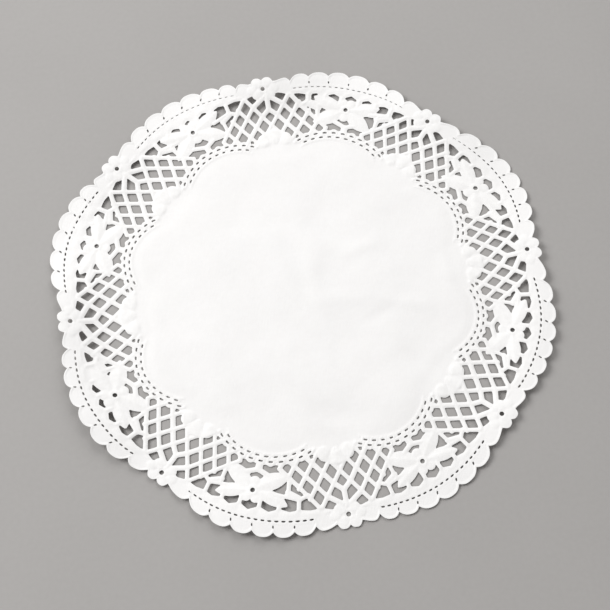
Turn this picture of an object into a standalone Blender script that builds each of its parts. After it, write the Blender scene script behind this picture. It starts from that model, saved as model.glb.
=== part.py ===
# A round paper lace doily: one die-cut, embossed sheet that lies flat in the
# middle and lifts a little, unevenly, towards its scalloped rim.
#
# The lace repeats eight times. A repeat's own frame has +Y running outward
# through its rim flower and +X to the right of that, which is clockwise. Under
# the rim flower is a lattice, and at each end of the repeat is half of a large
# flower. The origin is the middle of the underside.

import math

import bmesh
import bpy
from mathutils import Vector
from mathutils.geometry import delaunay_2d_cdt

MM = 0.001

# Driving dimensions
REPEATS = 8
HALF_REPEAT = math.pi / REPEATS
RIM_FLOWER_RADIUS = 117.0 * MM  # centre of the doily to the eye of a rim flower
FLOWER_RADIUS = 106.6 * MM  # and to the eye of a large flower
SHEET_THICKNESS = 1.0 * MM
OPENINGS_PER_REPEAT = 37  # the largest ones
START_EARLY = math.radians(0.5)  # so that openings on its edge are counted once
JOIN_WITHIN = 0.0001  # mm between corners that are one

# Rim: two small lobes over each rim flower, and eight scallops between them
SCALLOPS = 8
SCALLOP_STEPS = 5
SCALLOP_FULLNESS = 2.6  # 2 is a parabola, and more is squarer
SCALLOP_DEPTH = 2.2 * MM
CREST_RADIUS = 128.2 * MM  # scallop tips beside a large flower's axis
CREST_FALL = 8.4 * MM  # how much lower they would be at a rim flower
SMALL_LOBE_ANGLE = math.radians(2.7)
SMALL_LOBE_RADIUS = 123.4 * MM
SMALL_LOBE_DEPTH = 2.0 * MM

# Lattice: two families of bars that cross in rows
LATTICE_PITCH = 8.25 * MM  # from hole to hole along a row
LATTICE_ROW = 5.70 * MM  # from row to row
LATTICE_RADIUS = 101.4 * MM  # the row that has a hole on the axis
LATTICE_BARS = range(-5, 3)  # one family, of which bar 0 is half a pitch right of the axis
LATTICE_HALF_COUNT = 2.5  # pitches from the axis to where the outermost bars cross
LATTICE_FOOT_RADIUS = 85.0 * MM
LATTICE_BAR = 2.1 * MM
MIDDLE_BAR = 2.5 * MM  # around the hole on the axis
FAN_BAR = 2.6 * MM  # leaning in to the rim flower
FAN_END = (1.8 * MM, 111.8 * MM)
STEM_BAR = 2.6 * MM
STEM_FOOT_RADIUS = 105.2 * MM

# Corners of the openings
CUT_CORNER = 0.8 * MM  # taken off the sharp ones
SHARP_CORNER = math.radians(80)
LEAST_CUT_EDGE = 2.0 * MM  # beside a corner that is cut
CLOSEST_CORNERS = 0.35 * MM
LEAST_BEND = 0.05 * MM  # that a corner stands out of line

# Round lobes: of the rim flower, of the shell at the lattice's foot, and of the
# large flower. Each is given once and mirrored if it isn't on the axis.
RIM_FLOWER_LOBES = (
    # across, outward from the doily's centre, radius
    (3.5 * MM, 114.1 * MM, 2.7 * MM),
    (5.9 * MM, 116.8 * MM, 2.6 * MM),
)
SHELL_LOBES = (
    # across, outward from the doily's centre, radius
    (0.0 * MM, 90.2 * MM, 3.8 * MM),
    (6.1 * MM, 87.6 * MM, 3.3 * MM),
)
FLOWER_LOBES = (
    # across, outward from the flower's eye, radius
    (0.0 * MM, 0.0 * MM, 4.4 * MM),
    (2.2 * MM, 3.6 * MM, 2.5 * MM),
    (0.0 * MM, -4.7 * MM, 3.2 * MM),
)
LOBE_STEPS = 12

# Pointed petals of the large flower, one side of it
PETALS = (
    # degrees from outward, length, half width, where along it is widest
    (76.5, 18.0 * MM, 3.9 * MM, 0.56),
    (125.0, 18.6 * MM, 4.6 * MM, 0.52),
)
PETAL_STEPS = 6
PETAL_FULLNESS = 0.8  # 1 is a sine, and less is fuller

# Outer edge of the open ground: a crest over each cell, a shoulder between two
CELL_CRESTS = (
    # degrees from the large flower's axis, radius
    (0.0, 116.3 * MM),
    (4.55, 115.8 * MM),
    (9.1, 115.0 * MM),
    (13.7, 114.1 * MM),
    (19.05, 114.8 * MM),
)
CELL_SHOULDER_RADIUS = 113.5 * MM

# Bars around the large flower, one side of it, in the flower's frame
FLOWER_BARS = (
    # across and outward from the doily's centre at each end, width
    ((4.4 * MM, 110.0 * MM), (4.65 * MM, 116.0 * MM), 2.2 * MM),
    ((12.8 * MM, 109.0 * MM), (13.6 * MM, 116.0 * MM), 2.2 * MM),
    ((21.0 * MM, 106.6 * MM), (22.3 * MM, 114.0 * MM), 2.1 * MM),
    ((21.0 * MM, 106.6 * MM), (24.4 * MM, 103.4 * MM), 2.1 * MM),
    ((21.0 * MM, 106.6 * MM), (11.0 * MM, 106.2 * MM), 2.0 * MM),
    ((15.8 * MM, 106.0 * MM), (14.6 * MM, 98.0 * MM), 2.0 * MM),
    ((0.0 * MM, 95.6 * MM), (6.2 * MM, 99.8 * MM), 3.0 * MM),
    ((1.1 * MM, 95.6 * MM), (-1.1 * MM, 90.0 * MM), 2.3 * MM),
)

# Inner band: an arch under each large flower, edged with small bumps
BAND_RADIUS = 86.0 * MM
ARCH_RADIUS = 30.1 * MM
ARCH_CENTRE_RADIUS = 62.5 * MM
ARCH_STEPS = 36
BUMP_COUNT = 9
BUMP_PITCH = 4.5 * MM
BUMP_RADIUS = 2.0 * MM
BUMP_RISE = 0.8 * MM  # out of the arch
BUMP_STEPS = 8

# Plain middle, inside the band
MIDDLE_RADIUS = 84.0 * MM
MIDDLE_STEPS = 48

# How the sheet lies. Its middle is flat on the surface, and its creases lift
# the rim and draw it a little out of round.
FLAT_RADIUS = 97.0 * MM
FULL_RADIUS = 124.0 * MM
DRAW_POWER = 3  # how late the drawing grows, outward
LAY = (
    # lift, across and outward at a rim flower, then at the next large flower
    (4.4 * MM, -0.4 * MM, 0.2 * MM, 0.8 * MM, 0.7 * MM, 0.5 * MM),
    (3.2 * MM, -0.2 * MM, 0.1 * MM, 0.3 * MM, 0.7 * MM, 0.8 * MM),
    (3.3 * MM, -0.5 * MM, -0.5 * MM, 2.8 * MM, -0.1 * MM, 0.5 * MM),
    (2.5 * MM, -0.1 * MM, 0.2 * MM, 0.3 * MM, 0.6 * MM, 0.2 * MM),
    (0.3 * MM, -0.9 * MM, 0.8 * MM, 2.4 * MM, 0.7 * MM, 0.6 * MM),
    (0.9 * MM, -0.3 * MM, -0.2 * MM, 4.4 * MM, 0.3 * MM, 1.1 * MM),
    (5.0 * MM, 0.4 * MM, -0.9 * MM, 0.3 * MM, -0.1 * MM, 0.5 * MM),
    (2.6 * MM, -0.3 * MM, 0.4 * MM, 0.3 * MM, -0.2 * MM, 0.4 * MM),
)
SCALLOP_LAY = (
    # after each rim flower, how far the scallops slide clockwise and reach out,
    # and how much more the first half of them reaches out and slides
    (-2.5 * MM, 1.0 * MM, 0.0 * MM, -0.5 * MM),
    (1.0 * MM, 1.5 * MM, 0.0 * MM, 1.0 * MM),
    (2.0 * MM, -1.0 * MM, 0.5 * MM, 0.5 * MM),
    (3.0 * MM, -1.0 * MM, 0.5 * MM, -0.5 * MM),
    (-3.5 * MM, -0.5 * MM, 0.0 * MM, 1.0 * MM),
    (3.0 * MM, -1.5 * MM, 0.5 * MM, -0.5 * MM),
    (4.5 * MM, 1.5 * MM, 0.0 * MM, -0.5 * MM),
    (3.5 * MM, 1.0 * MM, 0.5 * MM, -1.0 * MM),
)

PAPER_COLOUR = (0.93, 0.92, 0.91, 1.0)
PAPER_ROUGHNESS = 0.75


def turned(points, angle):
    """Points turned counter-clockwise about the doily's centre."""
    c = math.cos(angle)
    s = math.sin(angle)
    return [(x * c - y * s, x * s + y * c) for x, y in points]


def mirrored(points):
    """Points mirrored about the repeat's axis, still running the same way round."""
    return [(-x, y) for x, y in reversed(points)]


def at_angle(angle, radius):
    """The place at a radius, at an angle clockwise from the repeat's axis."""
    return (radius * math.sin(angle), radius * math.cos(angle))


def circle(x, y, radius, steps):
    """A closed round outline."""
    turn = 2 * math.pi / steps
    return [
        (x + radius * math.cos(i * turn), y + radius * math.sin(i * turn))
        for i in range(steps)
    ]


def bar(start, end, width):
    """The four corners of a straight bar between two places."""
    dx = end[0] - start[0]
    dy = end[1] - start[1]
    scale = width / 2 / math.hypot(dx, dy)
    sx = -dy * scale
    sy = dx * scale
    return [
        (start[0] - sx, start[1] - sy),
        (end[0] - sx, end[1] - sy),
        (end[0] + sx, end[1] + sy),
        (start[0] + sx, start[1] + sy),
    ]


def petal(degrees, length, half_width, widest):
    """A pointed petal from the origin, turned clockwise from +Y."""
    bulge = math.log(0.5) / math.log(widest)
    edge = []
    for step in range(PETAL_STEPS):
        t = (step + 0.5) / PETAL_STEPS
        swell = math.sin(math.pi * t**bulge) ** PETAL_FULLNESS
        edge.append((half_width * swell, length * t))
    outline = edge + [(0, length)] + mirrored(edge)
    return turned(outline, -math.radians(degrees))


def lobes(rows, outward=0.0):
    """Round lobes from a table, mirrored where they are off the axis."""
    pieces = []
    for across, along, radius in rows:
        pieces.append(circle(across, along + outward, radius, LOBE_STEPS))
        if across > 0:
            pieces.append(mirrored(pieces[-1]))
    return pieces


def lattice():
    """The crossing bars of one repeat and the stem of its rim flower."""
    slope = LATTICE_PITCH / 2 / LATTICE_ROW
    pieces = []

    def on_bar(across, radius):
        return (across + (LATTICE_RADIUS - radius) * slope, radius)

    for index in LATTICE_BARS:
        across = (index + 0.5) * LATTICE_PITCH
        rise = (across + LATTICE_HALF_COUNT * LATTICE_PITCH) / (2 * slope)
        top = min(LATTICE_RADIUS + rise, RIM_FLOWER_RADIUS)
        width = LATTICE_BAR
        if index == 0:
            top = LATTICE_RADIUS
            width = MIDDLE_BAR
            pieces.append(bar((0, STEM_FOOT_RADIUS), on_bar(across, top), width))
        if index == 1:
            top = LATTICE_RADIUS + LATTICE_ROW
            pieces.append(bar(on_bar(across, top), FAN_END, FAN_BAR))
        if top > LATTICE_FOOT_RADIUS:
            start = on_bar(across, top)
            pieces.append(bar(start, on_bar(across, LATTICE_FOOT_RADIUS), width))
    pieces += [mirrored(piece) for piece in pieces]
    pieces.append(bar((0, STEM_FOOT_RADIUS), (0, RIM_FLOWER_RADIUS), STEM_BAR))
    return pieces


def large_flower():
    """A large flower with the bars and the arch around it, in its own frame."""
    pieces = lobes(FLOWER_LOBES, FLOWER_RADIUS)
    side = [bar(*row) for row in FLOWER_BARS]
    for row in PETALS:
        side.append([(x, y + FLOWER_RADIUS) for x, y in petal(*row)])
    pieces += side + [mirrored(piece) for piece in side]
    pieces.append(circle(0, ARCH_CENTRE_RADIUS, ARCH_RADIUS, ARCH_STEPS))
    for number in range(BUMP_COUNT):
        angle = (number - (BUMP_COUNT - 1) / 2) * BUMP_PITCH / ARCH_RADIUS
        x, y = at_angle(angle, ARCH_RADIUS + BUMP_RISE - BUMP_RADIUS)
        pieces.append(circle(x, y + ARCH_CENTRE_RADIUS, BUMP_RADIUS, BUMP_STEPS))
    return pieces


def open_ground():
    """What is open between the rim and the band until the lace crosses it."""
    degrees, radius = CELL_CRESTS[1]
    crests = [(-degrees, radius)] + list(CELL_CRESTS)
    ends = [degrees for degrees, radius in crests[1:]]
    ends.append(2 * math.degrees(HALF_REPEAT) - crests[-1][0])
    right = []
    for (start, radius), end in zip(crests, ends):
        for degrees, height in ((start, radius), ((start + end) / 2, CELL_SHOULDER_RADIUS)):
            right.append(at_angle(HALF_REPEAT - math.radians(degrees), height))
    corner = at_angle(HALF_REPEAT - math.radians(crests[0][0]), BAND_RADIUS)
    foot = (corner[0] / 2, BAND_RADIUS)
    left = mirrored(right[:-1]) + [(-corner[0], corner[1]), (-foot[0], foot[1])]
    return right + left + [foot, corner]


def area_of(points):
    """The area inside an outline, positive when it runs counter-clockwise."""
    total = 0.0
    for (x0, y0), (x1, y1) in zip(points, points[1:] + points[:1]):
        total += x0 * y1 - x1 * y0
    return total / 2


def loops_around(triangles):
    """The closed chains of corners around a set of triangles."""
    edges = set()
    for a, b, c in triangles:
        edges.update(((a, b), (b, c), (c, a)))
    follow = {a: b for a, b in sorted(edges) if (b, a) not in edges}
    loops = []
    while follow:
        start, here = follow.popitem()
        loop = [start]
        while here != start:
            loop.append(here)
            here = follow.pop(here)
        loops.append(loop)
    return loops


def tidied(points):
    """An outline without corners that lie close together or almost in line."""
    kept = [Vector(point) for point in points]
    at = 0
    while at < len(kept) and len(kept) > 3:
        before = kept[at - 1]
        across = kept[(at + 1) % len(kept)] - before
        here = kept[at] - before
        bend = abs(across.cross(here)) / max(across.length, CLOSEST_CORNERS)
        if here.length < CLOSEST_CORNERS or bend < LEAST_BEND:
            kept.pop(at)
            at = max(at - 1, 0)
        else:
            at += 1
    return [tuple(point) for point in kept]


def eased(points):
    """An outline with its sharp corners cut short."""
    kept = []
    for at, point in enumerate(points):
        here = Vector(point)
        back = Vector(points[at - 1]) - here
        ahead = Vector(points[(at + 1) % len(points)]) - here
        room = min(back.length, ahead.length)
        if back.angle(ahead) < SHARP_CORNER and room > LEAST_CUT_EDGE:
            kept.append(tuple(here + back.normalized() * CUT_CORNER))
            kept.append(tuple(here + ahead.normalized() * CUT_CORNER))
        else:
            kept.append(point)
    return kept


def repeat_openings():
    """The largest openings of one repeat, as closed outlines in its own frame."""
    solids = lattice() + lobes(RIM_FLOWER_LOBES) + lobes(SHELL_LOBES)
    for side in (-HALF_REPEAT, HALF_REPEAT):
        solids += [turned(piece, side) for piece in large_flower()]
    corners = []
    faces = []
    for outline in [open_ground()] + solids:
        if area_of(outline) < 0:
            outline = outline[::-1]
        faces.append(list(range(len(corners), len(corners) + len(outline))))
        corners += [Vector(place) / MM for place in outline]
    places, _, triangles, _, _, origins = delaunay_2d_cdt(corners, [], faces, 1, JOIN_WITHIN)
    places = [(place.x * MM, place.y * MM) for place in places]
    still_open = [t for t, crossed in zip(triangles, origins) if list(crossed) == [0]]
    openings = []
    for loop in loops_around(still_open):
        outline = tidied([places[corner] for corner in loop])
        middle = sum((Vector(place) for place in outline), Vector((0, 0)))
        if 0 < math.atan2(middle.x, middle.y) + HALF_REPEAT + START_EARLY < 2 * HALF_REPEAT:
            openings.append(eased(outline))
    openings.sort(key=area_of, reverse=True)
    return openings[:OPENINGS_PER_REPEAT]


def scalloped_rim():
    """The outline of the whole sheet, clockwise from the first rim flower."""
    points = []
    width = 2 * (HALF_REPEAT - SMALL_LOBE_ANGLE) / SCALLOPS
    least = SMALL_LOBE_RADIUS - SMALL_LOBE_DEPTH
    steps = [step / SCALLOP_STEPS for step in range(SCALLOP_STEPS)]
    swells = [1 - abs(2 * t - 1) ** SCALLOP_FULLNESS for t in steps]
    for repeat, (slide, reach, early_reach, early_slide) in enumerate(SCALLOP_LAY):
        start = 2 * HALF_REPEAT * repeat
        small = [
            (SMALL_LOBE_ANGLE * t, least + SMALL_LOBE_DEPTH * swell)
            for t, swell in zip(steps, swells)
        ]
        points += [at_angle(start + angle, radius) for angle, radius in small]
        for scallop in range(SCALLOPS):
            for t, swell in zip(steps, swells):
                angle = SMALL_LOBE_ANGLE + (scallop + t) * width
                bow = math.sin(angle / HALF_REPEAT * math.pi / 2)
                early = math.sin(angle / HALF_REPEAT * math.pi)
                radius = CREST_RADIUS - CREST_FALL * (angle / HALF_REPEAT - 1) ** 2
                radius += reach * bow + early_reach * early - SCALLOP_DEPTH * (1 - swell)
                angle += (slide * bow + early_slide * early) / RIM_FLOWER_RADIUS
                points.append(at_angle(start + angle, max(radius, least)))
        end = start + 2 * HALF_REPEAT - SMALL_LOBE_ANGLE
        points += [at_angle(end + angle, radius) for angle, radius in small]
    return points


def laid(x, y):
    """Where a place of the flat pattern comes to lie, and how high."""
    radius = math.hypot(x, y)
    turn = math.atan2(x, y)
    stations = [row[i : i + 3] for row in LAY for i in (0, 3)]
    place = turn / HALF_REPEAT % len(stations)
    first = int(place)
    blend = (1 - math.cos((place - first) * math.pi)) / 2
    here = stations[first % len(stations)]
    following = stations[(first + 1) % len(stations)]
    lift, across, outward = (a + (b - a) * blend for a, b in zip(here, following))
    t = (radius - FLAT_RADIUS) / (FULL_RADIUS - FLAT_RADIUS)
    rise = min(max(t, 0.0), 1.0)
    rise = rise * rise * (3 - 2 * rise)
    draw = min(radius / RIM_FLOWER_RADIUS, 1.0) ** DRAW_POWER
    new_x, new_y = at_angle(turn + across * draw / radius, radius + outward * draw)
    return (new_x, new_y, lift * rise)


def paper():
    """Plain white paper."""
    material = bpy.data.materials.new("doily_paper")
    material.use_nodes = True
    shader = material.node_tree.nodes["Principled BSDF"]
    shader.inputs["Base Color"].default_value = PAPER_COLOUR
    shader.inputs["Roughness"].default_value = PAPER_ROUGHNESS
    shader.inputs["Metallic"].default_value = 0.0
    material.diffuse_color = PAPER_COLOUR
    return material


def flat_sheet(outlines):
    """A flat sheet inside the first outline and outside the others, standing on z = 0."""
    curve = bpy.data.curves.new("doily_outline", "CURVE")
    curve.dimensions = "2D"
    curve.fill_mode = "BOTH"
    curve.extrude = SHEET_THICKNESS / 2
    for outline in outlines:
        spline = curve.splines.new("POLY")
        spline.points.add(len(outline) - 1)
        for point, (x, y) in zip(spline.points, outline):
            point.co = (x, y, 0.0, 1.0)
        spline.use_cyclic_u = True
    guide = bpy.data.objects.new("doily_outline", curve)
    guide.location.z = SHEET_THICKNESS / 2
    bpy.context.scene.collection.objects.link(guide)
    bpy.context.view_layer.update()
    graph = bpy.context.evaluated_depsgraph_get()
    mesh = bpy.data.meshes.new_from_object(guide.evaluated_get(graph))
    mesh.transform(guide.matrix_world)
    bpy.data.objects.remove(guide)
    bpy.data.curves.remove(curve)
    return mesh


def is_side(face):
    """Whether a face of the flat sheet belongs to its top or its underside."""
    return abs(face.normal.z) > 0.5


def doily():
    """The sheet, cut flat and then laid in its waves."""
    middle = circle(0, 0, MIDDLE_RADIUS, MIDDLE_STEPS)
    outlines = [scalloped_rim(), middle]
    openings = repeat_openings()
    for repeat in range(REPEATS):
        turn = -2 * HALF_REPEAT * repeat
        outlines += [turned(opening, turn) for opening in openings]
    sheet = bmesh.new()
    sheet.from_mesh(flat_sheet([middle]))
    sheet.from_mesh(flat_sheet(outlines))
    bmesh.ops.remove_doubles(sheet, verts=sheet.verts, dist=0.001 * MM)
    inside = [vertex for vertex in sheet.verts if vertex.co.xy.length < MIDDLE_RADIUS * 1.0001]
    seam = [face for face in sheet.faces if not is_side(face) and set(face.verts) <= set(inside)]
    bmesh.ops.delete(sheet, geom=seam, context="FACES")
    sides = [face for face in sheet.faces if is_side(face)]
    inner = [edge for edge in sheet.edges if all(is_side(face) for face in edge.link_faces)]
    bmesh.ops.beautify_fill(sheet, faces=sides, edges=inner, method="AREA")
    for vertex in sheet.verts:
        x, y, lift = laid(vertex.co.x, vertex.co.y)
        vertex.co = (x, y, vertex.co.z + lift)
    bmesh.ops.recalc_face_normals(sheet, faces=sheet.faces)
    mesh = bpy.data.meshes.new("doily")
    sheet.to_mesh(mesh)
    sheet.free()
    mesh.materials.append(paper())
    return bpy.data.objects.new("doily", mesh)


def main():
    for old in list(bpy.data.objects):
        bpy.data.objects.remove(old)
    collection = bpy.data.collections.new("lace_doily")
    bpy.context.scene.collection.children.link(collection)
    collection.objects.link(doily())


if __name__ == "__main__":
    main()
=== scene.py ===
# A round paper lace doily, die-cut and embossed, lying on a plain pale table top.
# Lengths are in millimetres until a mesh is made. A repeat of the lace has +Y
# running outward through its rim flower, and angles run clockwise from there.
import bpy
import math
import numpy as np
from mathutils import Matrix
from mathutils import Vector


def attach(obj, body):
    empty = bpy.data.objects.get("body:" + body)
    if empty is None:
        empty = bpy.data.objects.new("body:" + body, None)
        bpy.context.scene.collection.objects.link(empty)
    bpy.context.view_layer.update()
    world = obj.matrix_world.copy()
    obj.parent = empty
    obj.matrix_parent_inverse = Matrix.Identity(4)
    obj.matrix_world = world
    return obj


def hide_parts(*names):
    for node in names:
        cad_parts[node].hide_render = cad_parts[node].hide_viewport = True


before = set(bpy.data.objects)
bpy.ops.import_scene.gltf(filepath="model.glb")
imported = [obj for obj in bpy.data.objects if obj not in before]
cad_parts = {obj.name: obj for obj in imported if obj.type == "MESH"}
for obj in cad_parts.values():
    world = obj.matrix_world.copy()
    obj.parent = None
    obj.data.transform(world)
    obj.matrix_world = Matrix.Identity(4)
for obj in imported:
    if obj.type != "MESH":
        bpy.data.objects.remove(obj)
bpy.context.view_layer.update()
mm = 0.001
print("packed doily loaded")


def soft(t):
    # s = t^2 (3 - 2t), with t held between 0 and 1
    t = np.clip(t, 0, 1)
    return t * t * (3 - 2 * t)


def bell(distance, width):
    # h = exp(-(distance / width)^2)
    return np.exp(-((distance / width) ** 2))


def joined(first, second, blend):
    # the larger of two signed distances, with their inner corner filled by a fillet
    near = np.clip(blend - np.abs(first - second), 0, None) / blend
    return np.maximum(first, second) + near * near * blend / 4


def polar(x, y):
    # radius, and angle clockwise from +Y
    return np.hypot(x, y), np.arctan2(x, y)


def repeated(values, place, slopes=0):
    # a value for each place round a closed row of stations, each with a slope to both
    # sides of it, blended by a cosine between two
    first = np.floor(place).astype(int)
    beyond = (place - first)[:, None]
    slopes = slopes + np.zeros(values.shape)
    here = values[first % len(values)] + slopes[first % len(values)] * beyond
    following = values[(first + 1) % len(values)] + slopes[(first + 1) % len(values)] * (beyond - 1)
    return here + (following - here) * (1 - np.cos(beyond * math.pi)) / 2


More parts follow.
